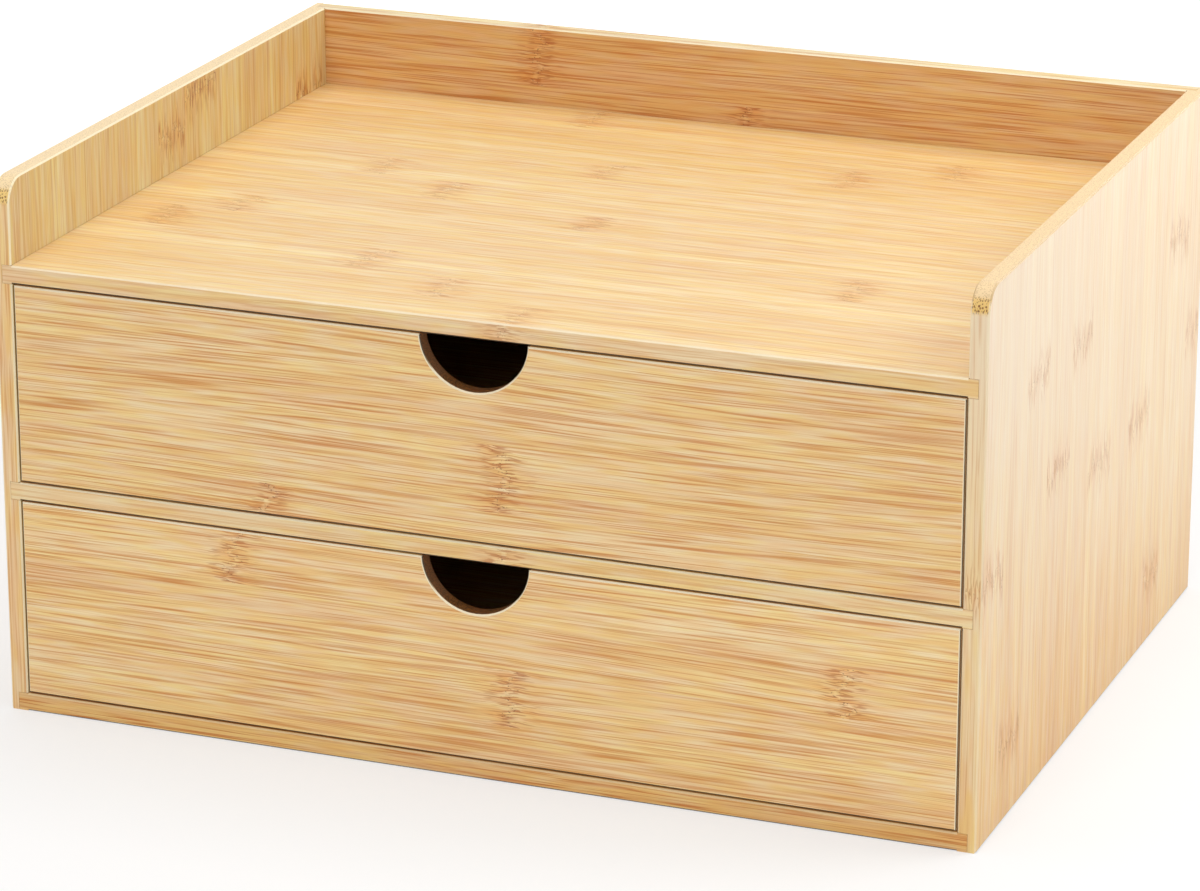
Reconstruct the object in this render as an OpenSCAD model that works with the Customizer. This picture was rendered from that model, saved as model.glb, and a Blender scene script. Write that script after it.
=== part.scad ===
// Desktop mini drawers: a case of thin bamboo boards with an open tray on top
// and two drawers below it, each with a half-round finger pull.
// The origin is the middle of the footprint, on the surface the case stands on.
// +X runs along the width, +Z points up, and the drawers open towards -Y.

/* [Case] */
// Overall width of the case
case_w = 330; // [260:1:420]
// Overall depth of the case, front edges to back face
case_d = 250; // [190:1:320]
// Overall height of the case
case_h = 180; // [150:1:260]
// Height of the tray's walls above the tray shelf
tray_h = 28; // [18:1:45]
// Radius of the round on the side panels' top front corners
corner_r = 8.5; // [3:0.5:16]

/* [Boards] */
// Thickness of the side panels
side_t = 6; // [5.5:0.5:9]
// Thickness of the tray shelf
shelf_t = 6; // [4:0.5:9]
// Thickness of the divider between the drawers
divider_t = 6; // [4:0.5:9]
// Thickness of the bottom panel
bottom_t = 6; // [4:0.5:9]
// Thickness of the back panel
back_t = 6; // [4:0.5:9]
// Depth of the housings in the side panels that hold the other case boards
housing_d = 3.3; // [2:0.1:4]
// Clearance left for glue round a board in its housing, groove or lap
glue_gap = 0.1; // [0.05:0.05:0.2]
// Width of the flat sanded onto each open edge
ease = 0.5; // [0.2:0.1:0.8]

/* [Drawers] */
// Gap round each drawer front and beside and over the drawer box
drawer_gap = 0.5; // [0.3:0.1:1.2]
// Clearance under the edges that a drawer slides on
run_gap = 0.1; // [0.05:0.05:0.25]
// Free space behind a closed drawer
rear_gap = 0.5; // [0.2:0.1:3]
// Thickness of the drawer fronts
front_t = 6; // [5.5:0.5:9]
// Thickness of the drawer sides
drawer_side_t = 6; // [5.5:0.5:9]
// Thickness of the drawer backs
drawer_back_t = 6; // [5.5:0.5:9]
// Thickness of the drawer bottoms
drawer_bottom_t = 3; // [2:0.5:4]
// Height of a drawer bottom's underside above the edges that the drawer slides on
bottom_rise = 4; // [3:0.5:8]
// Depth of the grooves that hold a drawer bottom
groove_d = 3; // [2:0.1:3.5]
// Depth of the laps that join the corners of a drawer box
lap_d = 3; // [2:0.1:3.5]

/* [Finger pulls] */
// Radius of the half-round finger pull
pull_r = 18; // [12:0.5:24]
// Height of the finger pull's centre above the top edge of the drawer front
pull_rise = 1; // [0:0.5:4]

/* [Hidden] */
$fn = 96;
over = 1;
bay_h = (case_h - tray_h - shelf_t - divider_t - bottom_t) / 2;
lower_bay_z = bottom_t;
divider_z = lower_bay_z + bay_h;
upper_bay_z = divider_z + divider_t;
shelf_z = upper_bay_z + bay_h;
front_y = -case_d / 2;
back_y = case_d / 2 - back_t;
inner_w = case_w - 2 * side_t;
housed_w = inner_w + 2 * (housing_d - glue_gap);
drawer_w = inner_w - 2 * drawer_gap;
drawer_inner_w = drawer_w - 2 * drawer_side_t;
drawer_back_y = back_y - rear_gap - drawer_back_t;
front_inner_y = front_y + front_t;
light_bamboo = "#e8cd9c";
warm_bamboo = "#dfba80";
panel_bamboo = "#d9b277";

// A square bar on its corner, along X. Centred on an edge, it takes off "ease" on each face.
module edge_cut_x(length)
    rotate([45, 0, 0])
        cube([length, ease * sqrt(2), ease * sqrt(2)], center = true);

// The same bar along Y
module edge_cut_y(length)
    rotate([0, 45, 0])
        cube([ease * sqrt(2), length, ease * sqrt(2)], center = true);

// The same bar along Z
module edge_cut_z(length)
    rotate([0, 0, 45])
        cube([ease * sqrt(2), ease * sqrt(2), length], center = true);

// Block from its lowest corner to its highest one
module block(low, high)
    translate(low)
        cube(high - low);

// Outline of a side panel seen from the side: Y runs to the right and Z up
module side_outline() {
    translate([front_y, 0])
        square([case_d, case_h - corner_r]);
    translate([front_y + corner_r, 0])
        square([case_d - corner_r, case_h]);
    translate([front_y + corner_r, case_h - corner_r])
        circle(corner_r);
}

// Takes the sharp edge off one face of a side panel, at x, all round its outline
module side_edge_cuts(x) {
    straight_h = case_h - corner_r;
    translate([x, front_y, straight_h / 2 - over / 2])
        edge_cut_z(straight_h + over);
    translate([x, -front_y, case_h / 2])
        edge_cut_z(case_h + 2 * over);
    translate([x, 0, 0])
        edge_cut_y(case_d + 2 * over);
    translate([x, corner_r / 2 + over / 2, case_h])
        edge_cut_y(case_d - corner_r + over);
    intersection() {
        translate([x, front_y + corner_r, case_h - corner_r])
            rotate([0, 90, 0])
                rotate_extrude()
                    polygon([[corner_r - ease, 0], [corner_r, ease], [corner_r + ease, 0], [corner_r, -ease]]);
        block([x - over, front_y - over, case_h - corner_r],
            [x + over, front_y + corner_r, case_h + over]);
    }
}

// Housings in a side panel whose inner face is at x = side_t: three for the level
// boards, open at the front edge, and a rabbet down the back for the back panel
module side_housings() {
    for (board = [[0, bottom_t], [divider_z, divider_t], [shelf_z, shelf_t]])
        block([side_t - housing_d, front_y - over, board[0] - (board[0] == 0 ? over : glue_gap)],
            [side_t + over, back_y, board[0] + board[1] + glue_gap]);
    block([side_t - housing_d, back_y - glue_gap, -over],
        [side_t + over, -front_y + over, case_h + over]);
}

// The left side panel, with its outer face on x = 0
module side_panel()
    difference() {
        rotate([90, 0, 90])
            linear_extrude(side_t)
                side_outline();
        side_housings();
        side_edge_cuts(0);
        side_edge_cuts(side_t);
    }

// A level board of the case, housed at both ends, with its open front edges eased
module level_board(z, thickness)
    difference() {
        block([-housed_w / 2, front_y, z], [housed_w / 2, back_y - glue_gap, z + thickness]);
        for (edge_z = [z, z + thickness])
            translate([0, front_y, edge_z])
                edge_cut_x(inner_w);
    }

module side_left()
    color(light_bamboo)
        translate([-case_w / 2, 0, 0])
            side_panel();

module side_right()
    color(light_bamboo)
        mirror([1, 0, 0])
            translate([-case_w / 2, 0, 0])
                side_panel();

module tray_shelf()
    color(warm_bamboo)
        level_board(shelf_z, shelf_t);

module divider_shelf()
    color(warm_bamboo)
        level_board(divider_z, divider_t);

module bottom_panel()
    color(warm_bamboo)
        level_board(0, bottom_t);

module back_panel()
    color(panel_bamboo)
        difference() {
            block([-housed_w / 2, back_y, 0], [housed_w / 2, case_d / 2, case_h]);
            for (edge = [[back_y, case_h], [case_d / 2, case_h], [case_d / 2, 0]])
                translate([0, edge[0], edge[1]])
                    edge_cut_x(housed_w + 2 * over);
        }

// Groove for a drawer bottom, as the space between two corners in plan
module bottom_groove(bay_z, low, high)
    block([low[0], low[1], bay_z + run_gap + bottom_rise - glue_gap],
        [high[0], high[1], bay_z + run_gap + bottom_rise + drawer_bottom_t + glue_gap]);

// The finger pull: a bore along Y with its two rims eased
module finger_pull(top_z)
    translate([0, front_y, top_z + pull_rise])
        rotate([-90, 0, 0]) {
            translate([0, 0, -over])
                cylinder(r = pull_r, h = front_t + 2 * over);
            translate([0, 0, -ease])
                cylinder(r1 = pull_r + 2 * ease, r2 = pull_r, h = 2 * ease);
            translate([0, 0, front_t - ease])
                cylinder(r1 = pull_r, r2 = pull_r + 2 * ease, h = 2 * ease);
        }

// A drawer front: eased all round, lapped at the ends for the sides, grooved for the bottom
module drawer_front(bay_z) {
    low_z = bay_z + drawer_gap;
    top_z = bay_z + bay_h - drawer_gap;
    middle_z = (low_z + top_z) / 2;
    color(warm_bamboo)
        difference() {
            block([-drawer_w / 2, front_y, low_z], [drawer_w / 2, front_inner_y, top_z]);
            for (end = [-1, 1])
                block([end * drawer_w / 2 - drawer_side_t - glue_gap, front_inner_y - lap_d, low_z - over],
                    [end * drawer_w / 2 + drawer_side_t + glue_gap, front_inner_y + over, top_z + over]);
            bottom_groove(bay_z, [-drawer_w / 2 - over, front_inner_y - groove_d],
                [drawer_w / 2 + over, front_inner_y + over]);
            finger_pull(top_z);
            for (edge_z = [low_z, top_z])
                translate([0, front_y, edge_z])
                    edge_cut_x(drawer_w + 2 * over);
            translate([0, front_inner_y, top_z])
                edge_cut_x(drawer_inner_w);
            for (end = [-1, 1])
                translate([end * drawer_w / 2, front_y, middle_z])
                    edge_cut_z(top_z - low_z + 2 * over);
        }
}

// The left side of a drawer box: it laps into the front, takes the back in a rabbet
// at its rear end, and is grooved for the bottom
module drawer_left_side(bay_z) {
    outer_x = -drawer_w / 2;
    inner_x = outer_x + drawer_side_t;
    start_y = front_inner_y - lap_d + glue_gap;
    end_y = drawer_back_y + drawer_back_t;
    low_z = bay_z + run_gap;
    top_z = bay_z + bay_h - drawer_gap;
    color(light_bamboo)
        difference() {
            block([outer_x, start_y, low_z], [inner_x, end_y, top_z]);
            block([inner_x - lap_d, drawer_back_y - glue_gap, low_z - over],
                [inner_x + over, end_y + over, top_z + over]);
            bottom_groove(bay_z, [inner_x - groove_d, start_y - over], [inner_x + over, end_y + over]);
            for (edge_x = [outer_x, inner_x], edge_z = [low_z, top_z])
                translate([edge_x, (front_inner_y + end_y) / 2 + over / 2, edge_z])
                    edge_cut_y(end_y - front_inner_y + over);
        }
}

module drawer_right_side(bay_z)
    mirror([1, 0, 0])
        drawer_left_side(bay_z);

// The back of a drawer box, lapped into the rear ends of the sides
module drawer_back(bay_z) {
    lapped_w = drawer_inner_w + 2 * (lap_d - glue_gap);
    low_z = bay_z + run_gap;
    top_z = bay_z + bay_h - drawer_gap;
    color(light_bamboo)
        difference() {
            block([-lapped_w / 2, drawer_back_y, low_z],
                [lapped_w / 2, drawer_back_y + drawer_back_t, top_z]);
            bottom_groove(bay_z, [-lapped_w / 2 - over, drawer_back_y - over],
                [lapped_w / 2 + over, drawer_back_y + groove_d]);
            for (edge_y = [drawer_back_y, drawer_back_y + drawer_back_t])
                translate([0, edge_y, top_z])
                    edge_cut_x(drawer_inner_w);
        }
}

// The thin bottom of a drawer box, held in a groove on all four sides
module drawer_bottom(bay_z) {
    reach = groove_d - glue_gap;
    low_z = bay_z + run_gap + bottom_rise;
    color(panel_bamboo)
        block([-drawer_inner_w / 2 - reach, front_inner_y - reach, low_z],
            [drawer_inner_w / 2 + reach, drawer_back_y + reach, low_z + drawer_bottom_t]);
}

module upper_drawer_front() drawer_front(upper_bay_z);
module upper_drawer_left_side() drawer_left_side(upper_bay_z);
module upper_drawer_right_side() drawer_right_side(upper_bay_z);
module upper_drawer_back() drawer_back(upper_bay_z);
module upper_drawer_bottom() drawer_bottom(upper_bay_z);
module lower_drawer_front() drawer_front(lower_bay_z);
module lower_drawer_left_side() drawer_left_side(lower_bay_z);
module lower_drawer_right_side() drawer_right_side(lower_bay_z);
module lower_drawer_back() drawer_back(lower_bay_z);
module lower_drawer_bottom() drawer_bottom(lower_bay_z);

side_left();
side_right();
tray_shelf();
divider_shelf();
bottom_panel();
back_panel();
upper_drawer_front();
upper_drawer_left_side();
upper_drawer_right_side();
upper_drawer_back();
upper_drawer_bottom();
lower_drawer_front();
lower_drawer_left_side();
lower_drawer_right_side();
lower_drawer_back();
lower_drawer_bottom();
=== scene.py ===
import math
import random

import bmesh
import bpy
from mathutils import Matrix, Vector


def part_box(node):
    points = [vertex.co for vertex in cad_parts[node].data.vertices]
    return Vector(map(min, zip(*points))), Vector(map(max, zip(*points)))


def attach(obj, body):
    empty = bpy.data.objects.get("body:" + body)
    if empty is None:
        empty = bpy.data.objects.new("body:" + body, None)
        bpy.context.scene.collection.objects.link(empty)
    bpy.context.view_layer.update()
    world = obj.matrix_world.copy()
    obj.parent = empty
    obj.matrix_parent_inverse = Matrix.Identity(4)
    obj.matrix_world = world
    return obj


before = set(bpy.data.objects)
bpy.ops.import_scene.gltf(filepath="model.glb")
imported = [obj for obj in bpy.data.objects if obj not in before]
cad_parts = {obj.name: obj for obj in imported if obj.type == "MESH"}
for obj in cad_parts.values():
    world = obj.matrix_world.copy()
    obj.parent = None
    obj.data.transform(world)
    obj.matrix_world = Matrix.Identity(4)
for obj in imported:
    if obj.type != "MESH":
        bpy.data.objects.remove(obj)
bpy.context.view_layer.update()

scene = bpy.context.scene
mm = 0.001
print("drawers: the packed boards are in,", len(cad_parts), "of them")


# small helpers for the node trees
def colour(red, green, blue):
    # a colour as a picture shows it, 0 to 255, as the linear values that sockets hold
    def linear(level):
        level = level / 255
        return level / 12.92 if level <= 0.04045 else ((level + 0.055) / 1.055) ** 2.4

    return (linear(red), linear(green), linear(blue), 1.0)


def startGroup(name, takes, gives):
    tree = bpy.data.node_groups.new(name, "ShaderNodeTree")
    for label, kind, value in takes:
        socket = tree.interface.new_socket(label, in_out="INPUT", socket_type="NodeSocket" + kind)
        socket.default_value = value
    for label, kind in gives:
        tree.interface.new_socket(label, in_out="OUTPUT", socket_type="NodeSocket" + kind)
    return tree, tree.nodes.new("NodeGroupInput").outputs, tree.nodes.new("NodeGroupOutput").inputs


def plug(tree, socket, value):
    # a socket is linked, anything else becomes the input's own value
    if isinstance(value, bpy.types.NodeSocket):
        tree.links.new(value, socket)
    else:
        socket.default_value = value


def calc(tree, operation, *values, clamp=False):
    node = tree.nodes.new("ShaderNodeMath")
    node.operation = operation
    node.use_clamp = clamp
    for socket, value in zip(node.inputs, values):
        plug(tree, socket, value)
    return node.outputs[0]


def vectorCalc(tree, operation, *values):
    node = tree.nodes.new("ShaderNodeVectorMath")
    node.operation = operation
    for socket, value in zip(node.inputs, values):
        plug(tree, socket, value)
    return node.outputs["Value" if operation in ("DOT_PRODUCT", "LENGTH") else "Vector"]


def pointOf(tree, x, y, z):
    node = tree.nodes.new("ShaderNodeCombineXYZ")
    for socket, value in zip(node.inputs, (x, y, z)):
        plug(tree, socket, value)
    return node.outputs[0]


def fade(tree, value, low, high, atLow=0.0, atHigh=1.0):
    # eases from atLow to atHigh while value goes from low to high
    node = tree.nodes.new("ShaderNodeMapRange")
    node.interpolation_type = "SMOOTHSTEP"
    for socket, given in zip(node.inputs, (value, low, high, atLow, atHigh)):
        plug(tree, socket, given)
    return node.outputs[0]


def blend(tree, share, first, second, mode="MIX"):
    node = tree.nodes.new("ShaderNodeMix")
    node.data_type = "RGBA"
    node.blend_type = mode
    plug(tree, node.inputs["Factor"], share)
    plug(tree, node.inputs[6], first)
    plug(tree, node.inputs[7], second)
    return node.outputs[2]


def noiseAt(tree, point, detail=0.0, roughness=0.5):
    node = tree.nodes.new("ShaderNodeTexNoise")
    plug(tree, node.inputs["Vector"], point)
    plug(tree, node.inputs["Scale"], 1.0)
    plug(tree, node.inputs["Detail"], detail)
    plug(tree, node.inputs["Roughness"], roughness)
    return node.outputs["Fac"]


def stretched(tree, board, length, width, depth=None, shift=0.0):
    # board coordinates scaled so that one lump of noise has this length, width and depth in mm
    far = calc(tree, "MULTIPLY_ADD", board["Along"], 1 / length, shift)
    wide = calc(tree, "MULTIPLY", board["Across"], 1 / width)
    deep = calc(tree, "MULTIPLY", board["Through"], 1 / (depth or width))
    return pointOf(tree, far, wide, deep)


# bamboo as every board here shows it; lengths run along the grain and widths across it, in mm
bamboo = {
    "pale": colour(248, 226, 182),
    "honey": colour(240, 209, 161),
    "rosy": colour(239, 206, 165),
    "yellowing": colour(255, 251, 223),
    "blushing": colour(255, 247, 238),
    "streak": colour(202, 129, 50),
    "flush": colour(236, 180, 112),
    "needle": colour(180, 104, 42),
    "knuckle": colour(130, 70, 26),
    "fleck": colour(252, 230, 184),
    "endWood": colour(240, 202, 124),
    "pore": colour(122, 66, 16),
    "endPale": colour(243, 215, 170),
    # a paler arris colour, partly that of rubbed arrises and partly a painted highlight
    "sanded": colour(255, 240, 210),
    # painted shade on upward arrises, holding down the lamps' glare there
    "topShade": colour(212, 182, 136),
    # painted shade: the dark brown that arrises take where they look into a gap
    "gapShadeBrown": colour(38, 19, 8),
    # painted sheen: the whitish glare of the lamps on the right side's upper front
    "sheenWhite": colour(250, 236, 214),
    "slantSize": (240.0, 45.0),
    "slant": 8.0,
    "swaySize": (7.0, 3.0),
    "sway": 1.1,
    "zigzag": 19.0,  # how far a knuckle's line wanders along the board
    "zigzagPerMm": 0.22,
    "zigzagNoise": (2.0, 0.65),  # detail and roughness
    "knuckleReach": 15.0,
    "knuckleCore": (1.2, 2.6),
    "speckSize": (1.0, 0.6),
    "speckNoise": (1.0, 0.6),
    "poreSpacing": 0.52,
    "poreLength": 1.1,
    "poreScatter": 0.8,
}

# the layers of noise in the grain: how long, wide and, where it matters, deep a lump is in mm,
# then the noise's detail and roughness, and a shift that keeps two layers from looking alike
grainLayers = {
    "band": ((230.0, 8.0, 2.2), 1.0, 0.5, 0.0),
    "blush": ((150.0, 12.0, 3.0), 1.0, 0.5, 31.7),
    "cluster": ((150.0, 6.0, 2.5), 1.0, 0.5, 12.3),
    "line": ((130.0, 0.95), 1.0, 0.6, 4.4),
    "streak": ((75.0, 0.56), 1.0, 0.6, 0.0),
    "hair": ((26.0, 0.3), 0.0, 0.5, 3.1),
    "thread": ((120.0, 0.95), 0.0, 0.5, 8.8),
    "unbroken": ((40.0, 1.1), 0.0, 0.5, 2.2),
    "needle": ((5.5, 0.44), 0.0, 0.5, 7.1),
    "flush": ((9.0, 2.2), 0.0, 0.5, 5.5),
    "yellowFleck": ((13.0, 2.0), 0.0, 0.5, 9.4),
    "yellowDrift": ((80.0, 5.0), 0.0, 0.5, 6.3),
    "pink": ((13.0, 2.0), 0.0, 0.5, 17.9),
}

# how each layer of the grain comes in over its noise: from and to, then the strengths there
grainFades = {
    "crowd": (0.36, 0.62, 0.15, 1.0),
    "fine": (0.5, 0.68),
    "broad": (0.5, 0.7),
    "thin": (0.4, 0.64),
    "thread": (0.015, 0.13, 1.0, 0.0),
    "unbroken": (0.4, 0.62),
    "band": (0.25, 0.75),
    "blush": (0.45, 0.75, 0.0, 0.7),
    "yellow": (-0.11, 0.11),
    "pink": (0.36, 0.64),
    "flush": (0.35, 0.6),
    "needle": (0.62, 0.72),
    "ridge": (0.3, 1.3, 1.0, 0.0),  # mm away from the knuckle's line
    "speck": (0.6, 0.68),
}

# how much of each layer shows
grainShares = {
    "broad": 0.36,
    "thin": 0.3,
    "dark": 0.66,
    "flush": 0.6,
    "ridge": 0.35,
    "needle": 0.7,
    "speck": 0.75,
    "needlePull": 0.14,  # how much denser the needles are close to the knuckle
    "stripTone": 0.4,  # how much the strips differ, beside the bands in each
    "hueFleck": 0.55,  # short patches of hue, against long ones
    "darkRelief": 0.6,  # how deep the lines lie, and how high the fine fibres stand
    "hairRelief": 0.6,
}
seedStep = 71  # these set the noise of one strip far from that of the next
fibreStep = 57.0


def makeBoardSpace():
    tree, takes, gives = startGroup(
        "boardSpace",
        [
            ("Position", "Vector", (0, 0, 0)),
            ("Low Corner", "Vector", (0, 0, 0)),
            ("Grain", "Vector", (1, 0, 0)),
            ("Strips", "Vector", (0, 1, 0)),
            ("Face", "Vector", (0, 0, 1)),
        ],
        [("Along", "Float"), ("Across", "Float"), ("Through", "Float")],
    )
    offset = vectorCalc(tree, "SUBTRACT", takes["Position"], takes["Low Corner"])
    inMm = vectorCalc(tree, "MULTIPLY", offset, [1 / mm] * 3)
    for way, label in (("Grain", "Along"), ("Strips", "Across"), ("Face", "Through")):
        tree.links.new(vectorCalc(tree, "DOT_PRODUCT", inMm, takes[way]), gives[label])
    return tree


def makeStripFacts():
    # a board's ramp holds, for each glued strip, the places of two knuckles, a tone and a seed
    tree, takes, gives = startGroup(
        "stripFacts",
        [
            ("Strip", "Color", (0, 0, 0, 1)),
            ("Strip Seed", "Float", 0),
            ("Along", "Float", 0),
            ("Across", "Float", 0),
        ],
        [("Knuckle Distance", "Float"), ("Tone", "Float"), ("Seed", "Float")],
    )
    parts = tree.nodes.new("ShaderNodeSeparateColor")
    tree.links.new(takes["Strip"], parts.inputs[0])
    seed = calc(tree, "MULTIPLY", takes["Strip Seed"], seedStep)
    spot = pointOf(tree, calc(tree, "MULTIPLY", takes["Across"], bamboo["zigzagPerMm"]), seed, 0.0)
    aside = calc(tree, "SUBTRACT", noiseAt(tree, spot, *bamboo["zigzagNoise"]), 0.5)
    place = calc(tree, "MULTIPLY_ADD", aside, bamboo["zigzag"], takes["Along"])
    away = []
    for channel in ("Red", "Green"):
        knuckle = calc(tree, "MULTIPLY_ADD", parts.outputs[channel], knuckleSpan[1], knuckleSpan[0])
        away.append(calc(tree, "ABSOLUTE", calc(tree, "SUBTRACT", place, knuckle)))
    tree.links.new(calc(tree, "MINIMUM", *away), gives["Knuckle Distance"])
    tree.links.new(calc(tree, "MULTIPLY_ADD", parts.outputs["Blue"], 2.0, -1.0), gives["Tone"])
    tree.links.new(takes["Strip Seed"], gives["Seed"])
    return tree


def makeCaneGrain():
    tree, takes, gives = startGroup(
        "caneGrain",
        [
            ("Along", "Float", 0),
            ("Across", "Float", 0),
            ("Through", "Float", 0),
            ("Knuckle Distance", "Float", 100),
            ("Tone", "Float", 0),
            ("Seed", "Float", 0),
            ("Board Seed", "Float", 0),
            ("Streaks", "Float", 1),
            ("Bands", "Float", 1),
            ("Knuckles", "Float", 1),
        ],
        [("Color", "Color"), ("Relief", "Float"), ("Ink", "Float")],
    )
    distance = takes["Knuckle Distance"]
    seed = calc(tree, "MULTIPLY_ADD", takes["Seed"], fibreStep, takes["Board Seed"])

    # the fibres run at a slight slant, and bend apart at a knuckle
    near = fade(tree, distance, 0.0, bamboo["knuckleReach"], 1.0, 0.0)
    slant = noiseAt(tree, stretched(tree, takes, *bamboo["slantSize"], shift=seed))
    push = noiseAt(tree, stretched(tree, takes, *bamboo["swaySize"], shift=seed))
    lean = calc(tree, "SUBTRACT", slant, 0.5)
    bent = calc(tree, "MULTIPLY_ADD", lean, bamboo["slant"], takes["Across"])
    reach = calc(tree, "MULTIPLY", near, bamboo["sway"])
    sway = calc(tree, "MULTIPLY", calc(tree, "SUBTRACT", push, 0.5), reach)
    fibre = {
        "Along": takes["Along"],
        "Across": calc(tree, "ADD", bent, sway),
        "Through": takes["Through"],
    }

    def layer(name):
        size, detail, roughness, shift = grainLayers[name]
        shift = calc(tree, "ADD", seed, shift)
        return noiseAt(tree, stretched(tree, fibre, *size, shift=shift), detail, roughness)

    # clusters of orange-brown lines, and fine fibres everywhere
    hair = layer("hair")
    crowd = fade(tree, layer("cluster"), *grainFades["crowd"])
    fine = calc(tree, "MULTIPLY", fade(tree, layer("streak"), *grainFades["fine"]), crowd)
    crowdShare = calc(tree, "MULTIPLY", crowd, grainShares["broad"])
    broad = fade(tree, layer("line"), *grainFades["broad"])
    broad = calc(tree, "MULTIPLY", broad, crowdShare)
    thin = calc(tree, "MULTIPLY", fade(tree, hair, *grainFades["thin"]), grainShares["thin"])

    # threads: long thin lines where a drawn-out noise crosses its middle level
    off = calc(tree, "ABSOLUTE", calc(tree, "SUBTRACT", layer("thread"), 0.5))
    unbroken = fade(tree, layer("unbroken"), *grainFades["unbroken"])
    thread = calc(tree, "MULTIPLY", fade(tree, off, *grainFades["thread"]), unbroken)
    dark = calc(tree, "MAXIMUM", calc(tree, "MAXIMUM", fine, broad), thread)
    dark = calc(tree, "ADD", dark, thin)
    dark = calc(tree, "MULTIPLY", dark, takes["Streaks"])

    # a knuckle: a flush, needles that taper away on both sides, a pale ridge and small dark dots
    pull = calc(tree, "MULTIPLY", calc(tree, "MULTIPLY", near, near), grainShares["needlePull"])
    needles = fade(tree, calc(tree, "ADD", layer("needle"), pull), *grainFades["needle"])
    needles = calc(tree, "MULTIPLY", needles, calc(tree, "MULTIPLY", near, takes["Knuckles"]))
    patch = fade(tree, layer("flush"), *grainFades["flush"])
    flush = calc(tree, "MULTIPLY", calc(tree, "MULTIPLY", near, patch), takes["Knuckles"])
    ridge = calc(tree, "MULTIPLY", fade(tree, distance, *grainFades["ridge"]), takes["Knuckles"])
    core = fade(tree, distance, *bamboo["knuckleCore"], 1.0, 0.0)
    core = calc(tree, "MULTIPLY", core, takes["Knuckles"])
    speckle = stretched(tree, takes, *bamboo["speckSize"], shift=seed)
    dots = noiseAt(tree, speckle, *bamboo["speckNoise"])
    specks = calc(tree, "MULTIPLY", fade(tree, dots, *grainFades["speck"]), core)

    # broad bands of tone and blush, then the marks over them
    bandTone = fade(tree, layer("band"), *grainFades["band"])
    tone = calc(tree, "MULTIPLY_ADD", takes["Tone"], grainShares["stripTone"], bandTone)
    tone = calc(tree, "SUBTRACT", tone, 0.5)
    tone = calc(tree, "MULTIPLY_ADD", tone, takes["Bands"], 0.5, clamp=True)
    wood = blend(tree, tone, bamboo["honey"], bamboo["pale"])
    blush = fade(tree, layer("blush"), *grainFades["blush"])
    wood = blend(tree, blush, wood, bamboo["rosy"])
    for mark, share, ink in (
        (flush, "flush", "flush"),
        (dark, "dark", "streak"),
        (ridge, "ridge", "fleck"),
        (needles, "needle", "needle"),
        (specks, "speck", "knuckle"),
    ):
        strength = calc(tree, "MULTIPLY", mark, grainShares[share], clamp=True)
        wood = blend(tree, strength, wood, bamboo[ink])

    # its hue wanders between yellow and pink
    fleck = grainShares["hueFleck"]
    yellow = calc(tree, "MULTIPLY_ADD", layer("yellowFleck"), fleck, -0.5)
    yellow = calc(tree, "MULTIPLY_ADD", layer("yellowDrift"), 1 - fleck, yellow)
    yellowed = blend(tree, 1.0, wood, bamboo["yellowing"], "MULTIPLY")
    wood = blend(tree, fade(tree, yellow, *grainFades["yellow"]), wood, yellowed)
    blushed = blend(tree, 1.0, wood, bamboo["blushing"], "MULTIPLY")
    wood = blend(tree, fade(tree, layer("pink"), *grainFades["pink"]), wood, blushed)
    tree.links.new(wood, gives["Color"])
    ink = calc(tree, "MAXIMUM", needles, specks)
    ink = calc(tree, "MAXIMUM", calc(tree, "MULTIPLY", dark, grainShares["darkRelief"]), ink)
    raised = calc(tree, "MULTIPLY", hair, grainShares["hairRelief"])
    tree.links.new(calc(tree, "SUBTRACT", raised, ink), gives["Relief"])
    tree.links.new(ink, gives["Ink"])
    return tree


# a cut across the grain, by how squarely the surface faces along it
endFades = {
    "cut": (0.03, 0.2),
    "dots": (0.03, 0.12),
    "faint": (0.44, 0.74, 0.9, 0.26),
    "square": (0.5, 0.7),
    "dot": (0.3, 0.5, 1.0, 0.0),  # from the middle of a fibre bundle outwards
}


def makeCaneEnds():
    # where the board is cut across the grain, its fibre bundles show as dots
    tree, takes, gives = startGroup(
        "caneEnds",
        [
            ("Along", "Float", 0),
            ("Across", "Float", 0),
            ("Through", "Float", 0),
            ("Normal", "Vector", (0, 0, 1)),
            ("Grain", "Vector", (1, 0, 0)),
        ],
        [("Color", "Color"), ("Cut", "Float"), ("Pores", "Float")],
    )
    cells = tree.nodes.new("ShaderNodeTexVoronoi")
    spacing = stretched(tree, takes, bamboo["poreLength"], bamboo["poreSpacing"])
    plug(tree, cells.inputs["Vector"], spacing)
    plug(tree, cells.inputs["Scale"], 1.0)
    plug(tree, cells.inputs["Randomness"], bamboo["poreScatter"])
    facing = vectorCalc(tree, "DOT_PRODUCT", takes["Normal"], takes["Grain"])
    facing = calc(tree, "ABSOLUTE", facing)
    square = fade(tree, facing, *endFades["square"])
    faint = fade(tree, facing, *endFades["faint"])
    showing = calc(tree, "MULTIPLY", fade(tree, facing, *endFades["dots"]), faint)
    pores = calc(tree, "MULTIPLY", fade(tree, cells.outputs["Distance"], *endFades["dot"]), showing)
    wood = blend(tree, square, bamboo["endWood"], bamboo["endPale"])
    tree.links.new(blend(tree, pores, wood, bamboo["pore"]), gives["Color"])
    tree.links.new(fade(tree, facing, *endFades["cut"]), gives["Cut"])
    tree.links.new(pores, gives["Pores"])
    return tree


# an arris, by the way it slopes; the depth is in mm behind the board's front
edgeFades = {
    "offEdge": (0.25, 0.45),
    "offFace": (0.8, 0.95, 1.0, 0.0),
    "under": (-0.6, -0.4, 1.0, 0.0),
    "upward": (0.3, 0.5),
    "sideways": (0.5, 0.65),
    "inGap": (0.2, 0.32),
}


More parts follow.
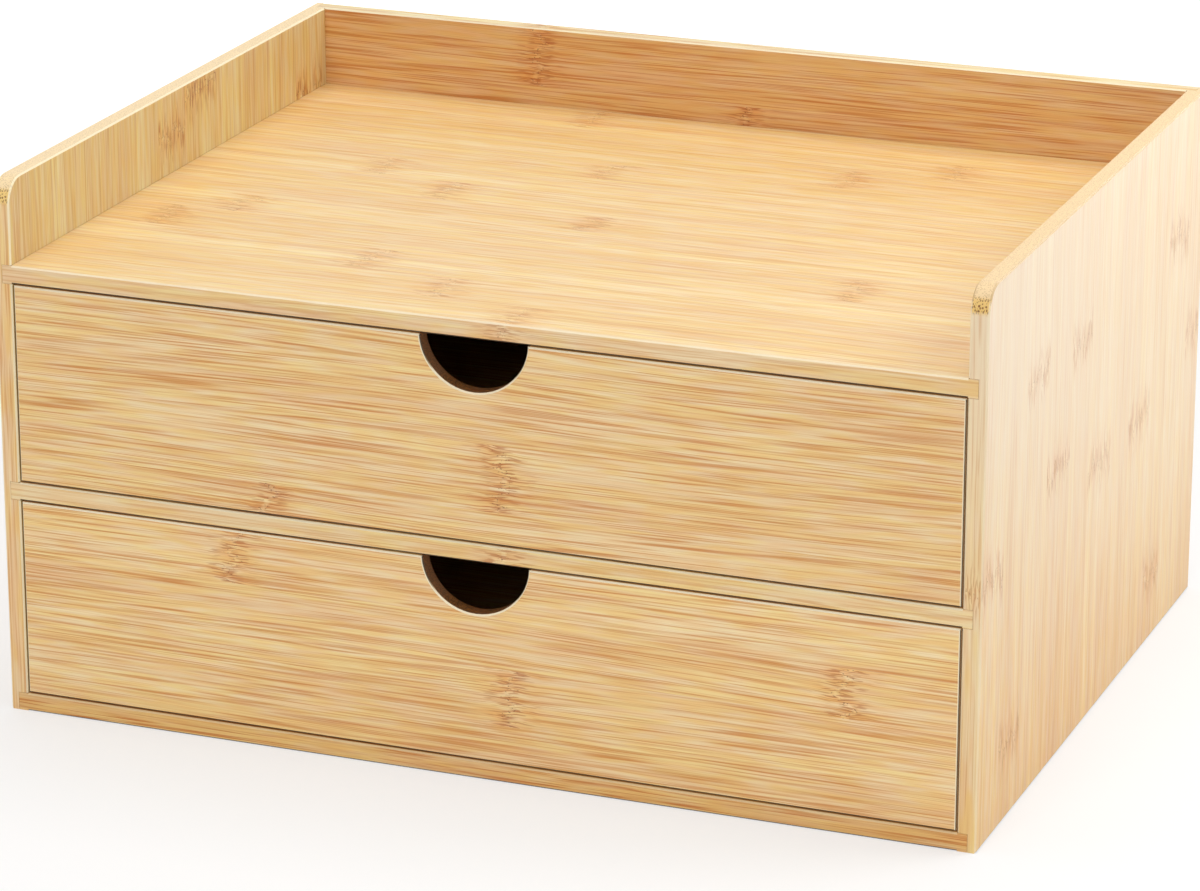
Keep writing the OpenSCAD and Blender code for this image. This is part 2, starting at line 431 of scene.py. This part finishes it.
def makeEasedEdge():
    # the arrises slope between the board's face and its edge; they turn paler, partly as rubbed
    # arrises do and partly as a painted highlight; one that looks into a gap gets painted shade,
    # and an upward one can get painted shade against the lamps' glare
    tree, takes, gives = startGroup(
        "easedEdge",
        [
            ("Normal", "Vector", (0, 0, 1)),
            ("Face", "Vector", (0, 0, 1)),
            ("Depth", "Float", 0),
            ("Gap Sides", "Float", 0),
            ("Top Shade Share", "Float", 0),
        ],
        [("Sanded And Highlight", "Float"), ("Gap", "Float"), ("Top Shade", "Float")],
    )
    slope = calc(tree, "ABSOLUTE", vectorCalc(tree, "DOT_PRODUCT", takes["Normal"], takes["Face"]))
    offFace = fade(tree, slope, *edgeFades["offFace"])
    edge = calc(tree, "MULTIPLY", fade(tree, slope, *edgeFades["offEdge"]), offFace)
    upward = vectorCalc(tree, "DOT_PRODUCT", takes["Normal"], (0, 0, 1))
    under = fade(tree, upward, *edgeFades["under"])
    topShade = calc(tree, "MULTIPLY", fade(tree, upward, *edgeFades["upward"]), takes["Top Shade Share"])
    sideways = calc(tree, "ABSOLUTE", vectorCalc(tree, "DOT_PRODUCT", takes["Normal"], (1, 0, 0)))
    sideways = fade(tree, sideways, *edgeFades["sideways"])
    sideways = calc(tree, "MULTIPLY", sideways, takes["Gap Sides"])
    inner = calc(tree, "MULTIPLY", sideways, fade(tree, takes["Depth"], *edgeFades["inGap"]))
    gap = calc(tree, "MULTIPLY", edge, calc(tree, "MAXIMUM", under, inner))
    tree.links.new(gap, gives["Gap"])
    tree.links.new(calc(tree, "MULTIPLY", edge, topShade), gives["Top Shade"])
    bright = calc(tree, "SUBTRACT", edge, gap, clamp=True)
    bright = calc(tree, "MULTIPLY", bright, calc(tree, "SUBTRACT", 1.0, topShade))
    tree.links.new(bright, gives["Sanded And Highlight"])
    return tree


pullReach = 0.0185  # metres from the pull's centre line, just past its wall
wallFacing = (0.2, 0.5, 1.0, 0.0)  # the wall is where the surface turns away from the front


def makePullRim():
    # the scooped wall of a finger pull, within reach of the pull's centre line
    tree, takes, gives = startGroup(
        "pullRim",
        [
            ("Position", "Vector", (0, 0, 0)),
            ("Normal", "Vector", (0, 0, 1)),
            ("Centre", "Vector", (0, 0, 0)),
            ("Reach", "Float", pullReach),
        ],
        [("Rim", "Float")],
    )
    away = vectorCalc(tree, "SUBTRACT", takes["Position"], takes["Centre"])
    level = vectorCalc(tree, "MULTIPLY", away, (1, 0, 1))
    inside = calc(tree, "LESS_THAN", vectorCalc(tree, "LENGTH", level), takes["Reach"])
    facing = calc(tree, "ABSOLUTE", vectorCalc(tree, "DOT_PRODUCT", takes["Normal"], (0, 1, 0)))
    wall = fade(tree, facing, *wallFacing)
    tree.links.new(calc(tree, "MULTIPLY", inside, wall), gives["Rim"])
    return tree


# mm along the board: where a ramp's red and green levels start, and how far they reach
knuckleSpan = (-100.0, 500.0)
boardSpace = makeBoardSpace()
stripFacts = makeStripFacts()
caneGrain = makeCaneGrain()
caneEnds = makeCaneEnds()
easedEdge = makeEasedEdge()
pullRim = makePullRim()
print("drawers: the bamboo node groups are built")

axes = {"x": (1, 0, 0), "y": (0, 1, 0), "z": (0, 0, 1)}
noKnuckle = 400.0  # mm, off the end of every board

# what varies from strip to strip, where a board doesn't say
stripVaries = {
    "width": (0.85, 1.15),
    "firstKnuckle": (-60, 190),
    "nextKnuckle": (230, 330),
}


def glueUp(look, width):
    # the strips that the board is glued from: where each starts, its knuckles, tone and seed
    draw = random.Random(look["seed"])
    starts = look.get("starts") or [0.0]
    while not look.get("starts") and starts[-1] < width:
        starts.append(starts[-1] + look["stripWidth"] * draw.uniform(*stripVaries["width"]))
    strips = []
    for number, start in enumerate(starts):
        if start >= width:
            break
        first = draw.uniform(*stripVaries["firstKnuckle"])
        pair = (first, first + draw.uniform(*stripVaries["nextKnuckle"]))
        knuckles = look.get("knuckles", {}).get(number, pair)
        tone = look.get("tones", {}).get(number, draw.uniform(-1, 1))
        strips.append({"start": start, "knuckles": knuckles, "tone": tone, "seed": draw.random()})
    return strips


def stripRamp(tree, across, look, width):
    # one flat stop for each strip
    ramp = tree.nodes.new("ShaderNodeValToRGB")
    ramp.color_ramp.interpolation = "CONSTANT"
    plug(tree, ramp.inputs[0], calc(tree, "DIVIDE", across, width))
    stops = ramp.color_ramp.elements
    stops.remove(stops[1])
    for strip in glueUp(look, width):
        stop = stops.new(strip["start"] / width) if strip["start"] else stops[0]
        levels = [(spot - knuckleSpan[0]) / knuckleSpan[1] for spot in strip["knuckles"]]
        levels = [max(level, 0.0) for level in levels]
        stop.color = (levels[0], levels[-1], strip["tone"] / 2 + 0.5, strip["seed"])
    return ramp.outputs


def placeGroup(tree, group, values):
    node = tree.nodes.new("ShaderNodeGroup")
    node.node_tree = group
    for label, value in values.items():
        plug(tree, node.inputs[label], value)
    return node.outputs


# the sanded and lacquered surface; heights and depths are in mm
surface = {
    "onFace": (0.6, 0.9),  # how squarely a spot faces out to belong to the board's broad face
    "sheenRise": (20.0, 175.0),  # painted sheen whitens the wood from here up to here
    "sheenLean": 0.35,  # and higher towards the back
    "sheenAcross": (1.2, 0.75),  # more at the front than at the back
    "sheenOnInk": -0.75,  # and less on the dark marks
    "gritSize": (0.7, 0.45),
    "gritFade": (0.4, 0.6),
    "rimDarkAndShade": 0.9,
    "outerDepth": (2.0, 4.0),  # between a board's two broad faces
    "inkDulls": 0.12,
    "cutDulls": 0.15,
    "coatRoughness": 0.3,
    "reliefStrength": 0.5,
    "relief": 0.04,
}


def bambooFinish(look):
    name = look["piece"]
    low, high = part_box(name)
    grain, across = axes[look["grain"]], axes[look["across"]]
    face = next(axes[letter] for letter in "xyz" if letter not in (look["grain"], look["across"]))
    width = (high - low).dot(Vector(across)) / mm
    material = bpy.data.materials.new(name + "_bamboo")
    material.use_nodes = True
    tree = material.node_tree
    shader = tree.nodes["Principled BSDF"]
    place = tree.nodes.new("ShaderNodeTexCoord").outputs

    board = placeGroup(
        tree,
        boardSpace,
        {
            "Position": place["Object"],
            "Low Corner": low,
            "Grain": grain,
            "Strips": across,
            "Face": face,
        },
    )
    spot = {label: board[label] for label in ("Along", "Across", "Through")}
    strip = stripRamp(tree, board["Across"], look, width)
    onFace = calc(tree, "ABSOLUTE", vectorCalc(tree, "DOT_PRODUCT", place["Normal"], face))
    broad = fade(tree, onFace, *surface["onFace"])
    facts = placeGroup(
        tree,
        stripFacts,
        {
            "Strip": strip["Color"],
            "Strip Seed": strip["Alpha"],
            "Along": board["Along"],
            "Across": board["Across"],
        },
    )
    streaks = (look.get("edgeStreaks", look["streaks"]), look["streaks"])
    cane = placeGroup(
        tree,
        caneGrain,
        {
            **spot,
            **{label: facts[label] for label in ("Knuckle Distance", "Tone", "Seed")},
            "Board Seed": float(look["seed"]),
            "Streaks": fade(tree, onFace, *surface["onFace"], *streaks),
            "Bands": look["bands"],
            "Knuckles": look["knuckleInk"],
        },
    )
    ends = placeGroup(tree, caneEnds, {**spot, "Normal": place["Normal"], "Grain": grain})
    fromLow = vectorCalc(tree, "SUBTRACT", place["Object"], low)
    fromFront = vectorCalc(tree, "DOT_PRODUCT", fromLow, (0, 1 / mm, 0))
    edge = placeGroup(
        tree,
        easedEdge,
        {
            "Normal": place["Normal"],
            "Face": face,
            "Depth": fromFront,
            "Gap Sides": look["gapSides"],
            "Top Shade Share": look["topShadeShare"],
        },
    )

    wood = cane["Color"]
    # painted sheen: the board turns whiter upwards and towards the front, less on the dark marks
    if look["paintedSheen"]:
        rise = calc(tree, "MULTIPLY_ADD", board["Across"], surface["sheenLean"], board["Along"])
        sheenMask = fade(tree, rise, *surface["sheenRise"], 0.0, look["paintedSheen"])
        level = fade(tree, board["Across"], 0.0, width, *surface["sheenAcross"])
        sheenMask = calc(tree, "MULTIPLY", sheenMask, level)
        unmarked = calc(tree, "MULTIPLY_ADD", cane["Ink"], surface["sheenOnInk"], 1.0, clamp=True)
        wood = blend(tree, calc(tree, "MULTIPLY", sheenMask, unmarked), wood, bamboo["sheenWhite"])
    wood = blend(tree, ends["Cut"], wood, ends["Color"])
    # the pull's wall: partly a darker cut surface, partly painted shade inside the scoop
    if "rimTint" in look:
        centre = Vector((0, 0, high.z + look["pullAbove"] * mm))
        values = {"Position": place["Object"], "Normal": place["Normal"], "Centre": centre}
        rim = placeGroup(tree, pullRim, values)
        grit = noiseAt(tree, stretched(tree, board, *surface["gritSize"]), 1.0)
        grit = fade(tree, grit, *surface["gritFade"])
        rimDarkAndShade = blend(tree, grit, look["rimDark"], look["rimTint"])
        rimDarkenedAndShaded = blend(tree, 1.0, wood, rimDarkAndShade, "MULTIPLY")
        wood = blend(tree, calc(tree, "MULTIPLY", rim["Rim"], surface["rimDarkAndShade"]), wood, rimDarkenedAndShaded)
    # paler arrises: partly their own colour, partly a painted highlight
    sanded = calc(tree, "MULTIPLY", edge["Sanded And Highlight"], look["sandingAndHighlight"])
    wood = blend(tree, sanded, wood, bamboo["sanded"])
    # painted shade on the arrises that look into a gap
    shaded = calc(tree, "MULTIPLY", edge["Gap"], look["gapShade"])
    wood = blend(tree, shaded, wood, bamboo["gapShadeBrown"])
    # painted shade on upward arrises
    wood = blend(tree, edge["Top Shade"], wood, bamboo["topShade"])
    tint = blend(tree, broad, look.get("edgeTint", look["tint"]), look["tint"])
    if "outerTint" in look:
        outer = fade(tree, board["Through"], *surface["outerDepth"], *look["outerSide"])
        tint = blend(tree, calc(tree, "MULTIPLY", outer, broad), tint, look["outerTint"])
    # painted shade: the board darkens towards the bottom, where the floor shades it
    if "shadedFootTint" in look:
        footShade = fade(tree, board["Along"], 0.0, look["shadedFootHeight"], 1.0, 0.0)
        tint = blend(tree, calc(tree, "MULTIPLY", footShade, broad), tint, look["shadedFootTint"])
    plug(tree, shader.inputs["Base Color"], blend(tree, 1.0, wood, tint, "MULTIPLY"))
    dull = calc(tree, "MULTIPLY_ADD", cane["Ink"], surface["inkDulls"], look["gloss"])
    dull = calc(tree, "MULTIPLY_ADD", ends["Cut"], surface["cutDulls"], dull)
    plug(tree, shader.inputs["Roughness"], dull)
    shader.inputs["Specular IOR Level"].default_value = look["shine"]
    shader.inputs["Coat Weight"].default_value = look["lacquer"]
    shader.inputs["Coat Roughness"].default_value = surface["coatRoughness"]
    bump = tree.nodes.new("ShaderNodeBump")
    bump.inputs["Strength"].default_value = surface["reliefStrength"]
    bump.inputs["Distance"].default_value = surface["relief"] * mm
    sunk = calc(tree, "MULTIPLY", ends["Pores"], ends["Cut"])
    plug(tree, bump.inputs["Height"], calc(tree, "SUBTRACT", cane["Relief"], sunk))
    plug(tree, shader.inputs["Normal"], bump.outputs[0])
    return material


def dressBoard(look):
    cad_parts[look["piece"]].data.materials[0] = bambooFinish(look)


plain = {
    "streaks": 1.0,
    "bands": 1.0,
    "knuckleInk": 1.0,
    "gloss": 0.42,
    "lacquer": 0.25,
    "shine": 0.5,
    "sandingAndHighlight": 0.75,
    "gapShade": 0.95,
    "gapSides": 0.0,
    "topShadeShare": 0.0,
    "paintedSheen": 0.0,
    "tint": colour(255, 255, 255),
    "stripWidth": 20.0,
}

# side panels: upright grain, strips side by side from front to back
sideRight = {
    **plain,
    "piece": "side_right",
    "grain": "z",
    "across": "y",
    "seed": 3,
    "streaks": 0.46,
    "edgeStreaks": 0.7,
    "knuckleInk": 0.75,
    "lacquer": 0.15,
    "shine": 0.35,
    "sandingAndHighlight": 0.6,
    "topShadeShare": 1.0,
    "paintedSheen": 0.6,
    "tint": colour(250, 247, 243),
    "edgeTint": colour(246, 243, 236),
    # painted shade towards the bottom of the outer face
    "shadedFootTint": colour(245, 235, 219),
    "shadedFootHeight": 80.0,
    "starts": [0, 21, 42.5, 65.5, 91, 114, 140, 162, 187, 207, 232],
    "tones": {
        0: 0.5,
        1: -0.5,
        2: 0.7,
        3: -0.7,
        4: -0.2,
        5: 0.8,
        6: -0.5,
        7: 0.7,
        8: -0.4,
        9: 0.9,
        10: -0.2,
    },
    "knuckles": {
        0: (86,),
        1: (25,),
        2: (137,),
        3: (99,),
        4: (134,),
        5: (86,),
        6: (noKnuckle,),
        7: (85,),
        8: (23,),
        9: (136,),
        10: (98,),
    },
}
dressBoard(sideRight)

sideLeft = {**plain, "piece": "side_left", "grain": "z", "across": "y", "seed": 8}
sideLeft["stripWidth"] = 22.0
sideLeft["streaks"] = 0.7
sideLeft["edgeStreaks"] = 0.8
# painted shade: the inner face is darkened for the shade that falls in the tray; the outer tint
# keeps the outside lighter
sideLeft["tint"] = colour(236, 246, 236)
sideLeft["edgeTint"] = colour(253, 254, 250)
sideLeft["outerTint"] = colour(254, 250, 240)
sideLeft["outerSide"] = (1.0, 0.0)  # the outer tint at the low face, and at the high one
dressBoard(sideLeft)

# level boards and the back: grain along the width
trayShelf = {**plain, "piece": "tray_shelf", "grain": "x", "across": "y", "seed": 14}
trayShelf["streaks"] = 0.6
trayShelf["knuckles"] = {0: (173,)}
trayShelf["knuckleInk"] = 0.7
trayShelf["tint"] = colour(246, 246, 236)
trayShelf["edgeTint"] = colour(247, 247, 246)
dressBoard(trayShelf)

dividerShelf = {**plain, "piece": "divider_shelf", "grain": "x", "across": "y", "seed": 21}
dividerShelf["streaks"] = 0.6
dividerShelf["knuckles"] = {0: (170,)}
dividerShelf["tint"] = colour(249, 253, 248)
dressBoard(dividerShelf)

bottomPanel = {**plain, "piece": "bottom_panel", "grain": "x", "across": "y", "seed": 33}
bottomPanel["streaks"] = 1.1
bottomPanel["knuckles"] = {0: (noKnuckle,)}
# painted shade: the bottom panel's front edge is darkened, as the floor shades it
bottomPanel["tint"] = colour(240, 225, 196)
dressBoard(bottomPanel)

backPanel = {**plain, "piece": "back_panel", "grain": "x", "across": "z", "seed": 40}
# the back's inner face is more orange in tone and is also darkened as painted shade inside the tray
backPanel["tint"] = colour(236, 221, 206)
backPanel["edgeTint"] = colour(242, 255, 255)
backPanel["outerTint"] = colour(252, 247, 238)
backPanel["outerSide"] = (0.0, 1.0)
dressBoard(backPanel)

# drawer fronts, with the knuckles where the bamboo has them
frontBase = {**plain, "grain": "x", "across": "z", "gapSides": 1.0, "pullAbove": 1.0}
frontBase["rimTint"] = colour(150, 98, 56)
frontBase["rimDark"] = colour(88, 50, 28)
frontBase["tint"] = colour(250, 249, 243)
frontBase["sandingAndHighlight"] = 1.0
upperFront = {
    **frontBase,
    "piece": "upper_drawer_front",
    "seed": 52,
    "starts": [0, 10.5, 32.5, 54.5],
    "tones": {0: -0.3, 1: 0.2, 2: -0.1, 3: 0.1},
    "knuckles": {0: (87,), 1: (167,), 2: (noKnuckle,), 3: (noKnuckle,)},
}
dressBoard(upperFront)

lowerFront = {
    **frontBase,
    "piece": "lower_drawer_front",
    "tint": colour(254, 255, 250),
    "seed": 64,
    "starts": [0, 12.5, 31.5, 48.0],
    "tones": {0: -0.3, 1: 0.2, 2: -0.2, 3: 0.1},
    "knuckles": {0: (noKnuckle,), 1: (170,), 2: (281,), 3: (75,)},
}
dressBoard(lowerFront)

# the drawer boxes behind the fronts
boxBase = {**plain, "lacquer": 0.1, "gloss": 0.5}
boxBoards = (
    ("left_side", "y", "z"),
    ("right_side", "y", "z"),
    ("back", "x", "z"),
    ("bottom", "x", "y"),
)
boxSeeds = {"upper_drawer": 107, "lower_drawer": 207}
nextSeed = 7
for drawer, seed in boxSeeds.items():
    for board, grain, across in boxBoards:
        look = {**boxBase, "piece": drawer + "_" + board, "grain": grain, "across": across}
        dressBoard({**look, "seed": seed})
        seed += nextSeed
print("drawers: every board has its bamboo")

# glue lines: a little glue shows in the hairline joints of the case; sizes in mm
glueLines = {
    "joint": 0.1,
    "width": 0.09,
    "depth": 1.2,
    "sunk": 0.15,
    "amber": colour(158, 106, 58),
    "brown": colour(112, 68, 34),
    "mottle": 1.6,
    "mottleFade": (0.35, 0.65),
    "gloss": 0.35,
    "mottleDulls": 0.2,
}


def glueFinish():
    material = bpy.data.materials.new("driedGlue")
    material.use_nodes = True
    tree = material.node_tree
    shader = tree.nodes["Principled BSDF"]
    position = tree.nodes.new("ShaderNodeTexCoord").outputs["Object"]
    perLump = 1 / (glueLines["mottle"] * mm)
    lumps = noiseAt(tree, vectorCalc(tree, "MULTIPLY", position, (perLump, perLump, perLump)), 2.0)
    mottle = fade(tree, lumps, *glueLines["mottleFade"])
    stain = blend(tree, mottle, glueLines["brown"], glueLines["amber"])
    plug(tree, shader.inputs["Base Color"], stain)
    dull = calc(tree, "MULTIPLY_ADD", mottle, glueLines["mottleDulls"], glueLines["gloss"])
    plug(tree, shader.inputs["Roughness"], dull)
    return material


def makeGlueLine():
    # sweeps a flat strip along every path of the guide; "turn" on a path stands the strip up
    tree = bpy.data.node_groups.new("glueLine", "GeometryNodeTree")
    sockets = {}
    for label, kind in (
        ("Paths", "Geometry"),
        ("Width", "Float"),
        ("Depth", "Float"),
        ("Glue", "Material"),
    ):
        kind = "NodeSocket" + kind
        sockets[label] = tree.interface.new_socket(label, in_out="INPUT", socket_type=kind)
    tree.interface.new_socket("Lines", in_out="OUTPUT", socket_type="NodeSocketGeometry")
    takes = tree.nodes.new("NodeGroupInput").outputs
    turn = tree.nodes.new("GeometryNodeInputNamedAttribute")
    turn.data_type = "FLOAT"
    turn.inputs["Name"].default_value = "turn"
    strip = tree.nodes.new("GeometryNodeCurvePrimitiveQuadrilateral")
    curves = tree.nodes.new("GeometryNodeMeshToCurve")
    turned = tree.nodes.new("GeometryNodeSetCurveTilt")
    swept = tree.nodes.new("GeometryNodeCurveToMesh")
    swept.inputs["Fill Caps"].default_value = True
    realized = tree.nodes.new("GeometryNodeRealizeInstances")
    painted = tree.nodes.new("GeometryNodeSetMaterial")
    for socket, given in (
        (strip.inputs["Width"], takes["Depth"]),
        (strip.inputs["Height"], takes["Width"]),
        (curves.inputs[0], takes["Paths"]),
        (turned.inputs["Curve"], curves.outputs[0]),
        (turned.inputs["Tilt"], turn.outputs["Attribute"]),
        (swept.inputs["Curve"], turned.outputs[0]),
        (swept.inputs["Profile Curve"], strip.outputs[0]),
        (realized.inputs[0], swept.outputs[0]),
        (painted.inputs["Geometry"], realized.outputs[0]),
        (painted.inputs["Material"], takes["Glue"]),
        (tree.nodes.new("NodeGroupOutput").inputs["Lines"], painted.outputs[0]),
    ):
        tree.links.new(given, socket)
    return tree, {label: socket.identifier for label, socket in sockets.items()}


def findJoints():
    # the paths that the glue follows, each with True where the guide turns the strip a quarter
    gap = glueLines["joint"] / 2 * mm
    sunk = glueLines["sunk"] * mm
    inward = sunk + glueLines["depth"] / 2 * mm
    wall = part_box("side_right")[0].x
    shelfLow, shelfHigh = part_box("tray_shelf")
    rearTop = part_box("back_panel")[1]
    end = shelfHigh.x + gap
    seam = shelfHigh.y + gap
    front = shelfLow.y + inward
    joints = [([(-wall, seam, shelfHigh.z - inward), (wall, seam, shelfHigh.z - inward)], True)]
    for side in (-1, 1):
        for board in ("tray_shelf", "divider_shelf", "bottom_panel"):
            low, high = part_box(board)
            path = [(side * wall, front, high.z + gap), (side * end, front, high.z + gap)]
            if low.z > inward:
                path += [(side * end, front, low.z - gap), (side * wall, front, low.z - gap)]
            else:
                path.append((side * end, front, sunk))
            joints.append((path, False))
        # the tray's inside corners, then round the back panel's end
        corner = side * (wall + inward)
        above = shelfHigh.z + gap
        path = [(corner, front + 2 * inward, above), (corner, seam - inward, above)]
        joints.append((path, False))
        path = [(corner, seam, above + inward), (corner, seam, rearTop.z - 2 * inward)]
        joints.append((path, False))
        rim = rearTop.z - inward
        rear = rearTop.y - sunk
        path = [(side * wall, seam, rim), (side * end, seam, rim), (side * end, rear, rim)]
        joints.append((path, True))
        behind = rearTop.y - inward
        path = [(side * end, behind, sunk), (side * end, behind, rearTop.z - 2 * inward)]
        joints.append((path, True))
    return joints


def layGlue():
    points, links, turns = [], [], []
    for path, turned in findJoints():
        first = len(points)
        links += [(first + step, first + step + 1) for step in range(len(path) - 1)]
        points += path
        turns += [math.pi / 2 if turned else 0.0] * len(path)
    guide = bpy.data.meshes.new("gluePaths")
    guide.from_pydata(points, links, [])
    guide.attributes.new("turn", "FLOAT", "POINT").data.foreach_set("value", turns)
    glue = bpy.data.objects.new("glue_lines", guide)
    scene.collection.objects.link(glue)
    sweep = glue.modifiers.new("glueLine", "NODES")
    sweep.node_group, ids = makeGlueLine()
    sweep[ids["Width"]] = glueLines["width"] * mm
    sweep[ids["Depth"]] = glueLines["depth"] * mm
    sweep[ids["Glue"]] = glueFinish()
    bpy.context.view_layer.update()
    evaluated = glue.evaluated_get(bpy.context.evaluated_depsgraph_get())
    mesh = bpy.data.meshes.new_from_object(evaluated)
    glue.modifiers.clear()
    glue.data = mesh
    shell = bmesh.new()
    shell.from_mesh(mesh)
    bmesh.ops.recalc_face_normals(shell, faces=shell.faces)
    shell.to_mesh(mesh)
    shell.free()
    mesh.shade_flat()
    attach(glue, "case")


layGlue()
print("drawers: the glue lines are in the joints")

# a pale room with soft lamps, and the camera at the picture's angle
studio = {
    "floorReach": 12.0,
    "floorRoughness": 0.9,
    "floorColour": (0.92, 0.92, 0.92, 1.0),
    "floorSeen": (0.45, 0.45, 0.45, 1.0),  # what the camera sees of the light on the floor
    "floorGlow": (0.52, 1.0),  # and what it sees besides, near the case and far from it
    "glowReach": (0.35, 1.3),
    "skyLight": 0.45,
    "lensMm": 150.8,
    "sensorMm": 36,
    "clips": (0.05, 60),
    "cameraAt": (0.5706, -1.4830, 0.6145),
    "cameraLooks": (-0.3433, 0.8818, -0.3233),
    "middle": (0, 0, 0.09),
    "lamps": {
        "keyRight": {"at": (0.62, 0.2, 0.62), "size": (0.4, 0.4), "watts": 2.0},
        "fillFront": {"at": (0.1, -2.3, 1.6), "size": (1.5, 1.3), "watts": 19.6},
        "topSoft": {"at": (0.0, 0.2, 2.0), "size": (1.6, 1.6), "watts": 17.5},
        "sheenRight": {
            "at": (0.62, 0.8, 0.25),
            "size": (0.6, 0.3),
            "watts": 7,
            "onlyGloss": True,
        },
    },
}


def seenDirectly(tree):
    # 1 for rays that show the surface itself, in the picture, a reflection or through glass
    rays = tree.nodes.new("ShaderNodeLightPath").outputs
    direct = calc(tree, "ADD", rays["Is Camera Ray"], rays["Is Glossy Ray"])
    return calc(tree, "ADD", direct, rays["Is Transmission Ray"], clamp=True)


def layFloor():
    mesh = bpy.data.meshes.new("floor")
    reach = studio["floorReach"]
    corners = [(-reach, -reach, 0), (reach, -reach, 0), (reach, reach, 0), (-reach, reach, 0)]
    mesh.from_pydata(corners, [], [(0, 1, 2, 3)])
    floor = bpy.data.objects.new("floor", mesh)
    scene.collection.objects.link(floor)
    material = bpy.data.materials.new("paleFloor")
    material.use_nodes = True
    tree = material.node_tree
    shader = tree.nodes["Principled BSDF"]
    seen = seenDirectly(tree)
    paint = blend(tree, seen, studio["floorColour"], studio["floorSeen"])
    plug(tree, shader.inputs["Base Color"], paint)
    shader.inputs["Roughness"].default_value = studio["floorRoughness"]
    shader.inputs["Specular IOR Level"].default_value = 0.0
    glow = tree.nodes.new("ShaderNodeEmission")
    position = tree.nodes.new("ShaderNodeTexCoord").outputs["Object"]
    distance = vectorCalc(tree, "LENGTH", position)
    around = fade(tree, distance, *studio["glowReach"], *studio["floorGlow"])
    plug(tree, glow.inputs["Strength"], calc(tree, "MULTIPLY", seen, around))
    both = tree.nodes.new("ShaderNodeAddShader")
    tree.links.new(shader.outputs[0], both.inputs[0])
    tree.links.new(glow.outputs[0], both.inputs[1])
    tree.links.new(both.outputs[0], tree.nodes["Material Output"].inputs["Surface"])
    mesh.materials.append(material)


def hangSky():
    world = bpy.data.worlds.new("studio")
    scene.world = world
    world.use_nodes = True
    tree = world.node_tree
    sky = tree.nodes["Background"]
    sky.inputs["Color"].default_value = (1, 1, 1, 1)
    unseen = calc(tree, "SUBTRACT", 1.0, seenDirectly(tree))
    strength = calc(tree, "MULTIPLY_ADD", unseen, studio["skyLight"] - 1.0, 1.0)
    plug(tree, sky.inputs["Strength"], strength)


def hangLamp(name, lampFacts):
    data = bpy.data.lights.new(name, "AREA")
    data.shape = "RECTANGLE"
    data.size, data.size_y = lampFacts["size"]
    data.energy = lampFacts["watts"]
    lamp = bpy.data.objects.new(name, data)
    scene.collection.objects.link(lamp)
    lamp.location = lampFacts["at"]
    aim = Vector(studio["middle"]) - lamp.location
    lamp.rotation_euler = aim.to_track_quat("-Z", "Y").to_euler()
    lamp.visible_camera = False
    lamp.visible_diffuse = not lampFacts.get("onlyGloss", False)


layFloor()
hangSky()
for name, lampFacts in studio["lamps"].items():
    hangLamp(name, lampFacts)

camera = bpy.data.objects.new("camera", bpy.data.cameras.new("camera"))
scene.collection.objects.link(camera)
camera.data.lens = studio["lensMm"]
camera.data.sensor_width = studio["sensorMm"]
camera.data.clip_start, camera.data.clip_end = studio["clips"]
camera.location = studio["cameraAt"]
aim = Vector(studio["cameraLooks"])
camera.rotation_euler = aim.to_track_quat("-Z", "Y").to_euler()
scene.camera = camera
scene.view_settings.view_transform = "Standard"
print("drawers: floor, lamps and camera are set")

bpy.context.view_layer.update()
